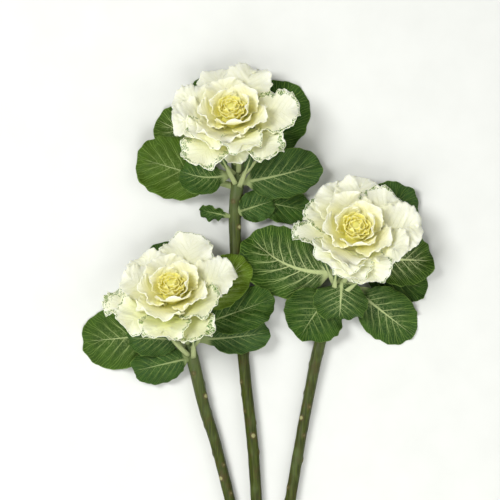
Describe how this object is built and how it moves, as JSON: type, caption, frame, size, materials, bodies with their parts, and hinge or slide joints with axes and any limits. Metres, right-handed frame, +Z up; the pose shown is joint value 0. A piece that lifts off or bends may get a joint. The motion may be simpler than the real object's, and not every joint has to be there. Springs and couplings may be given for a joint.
{
  "type": "ornamental kale bunch",
  "caption": "Cut ornamental kale stems lying side by side, each with a ruffled white rosette round a yellow heart and broad green leaves with pale veins below it.",
  "frame": {"origin": "on the table, under the middle of the bunch", "axes": "+Z up from the table, +Y from the cut ends towards the heads"},
  "size_m": [0.3025, 0.4864, 0.0834],
  "materials": {
    "stem": "waxy olive green with pale leaf scars",
    "green_leaf": "dull waxy green with pale veins",
    "white_petal": "soft creamy white, some rims speckled green",
    "yellow_heart": "soft pale yellow"
  },
  "bodies": {
    "root": {"tall_stem": "stem", "right_stem": "stem", "left_stem": "stem", "tall_rosette": "white_petal", "right_rosette": "white_petal", "left_rosette": "white_petal", "tall_heart": "yellow_heart", "right_heart": "yellow_heart", "left_heart": "yellow_heart", "tall_leaf_top": "green_leaf", "tall_leaf_left_upper": "green_leaf", "tall_leaf_left_large": "green_leaf", "tall_leaf_left_cupped": "green_leaf", "tall_leaf_left_small": "green_leaf", "tall_leaf_right_back": "green_leaf", "tall_leaf_right_long": "green_leaf", "tall_leaf_right_low": "green_leaf", "tall_leaf_right_small": "green_leaf", "right_leaf_top": "green_leaf", "right_leaf_side": "green_leaf", "right_leaf_side_low": "green_leaf", "right_leaf_front": "green_leaf", "right_leaf_front_right": "green_leaf", "right_leaf_front_left": "green_leaf", "right_leaf_left_large": "green_leaf", "left_leaf_top": "green_leaf", "left_leaf_left_large": "green_leaf", "left_leaf_front": "green_leaf", "left_leaf_front_low": "green_leaf", "left_leaf_right_front": "green_leaf", "left_leaf_right_side": "green_leaf", "left_leaf_right_upper": "green_leaf"}
  },
  "joints": []
}
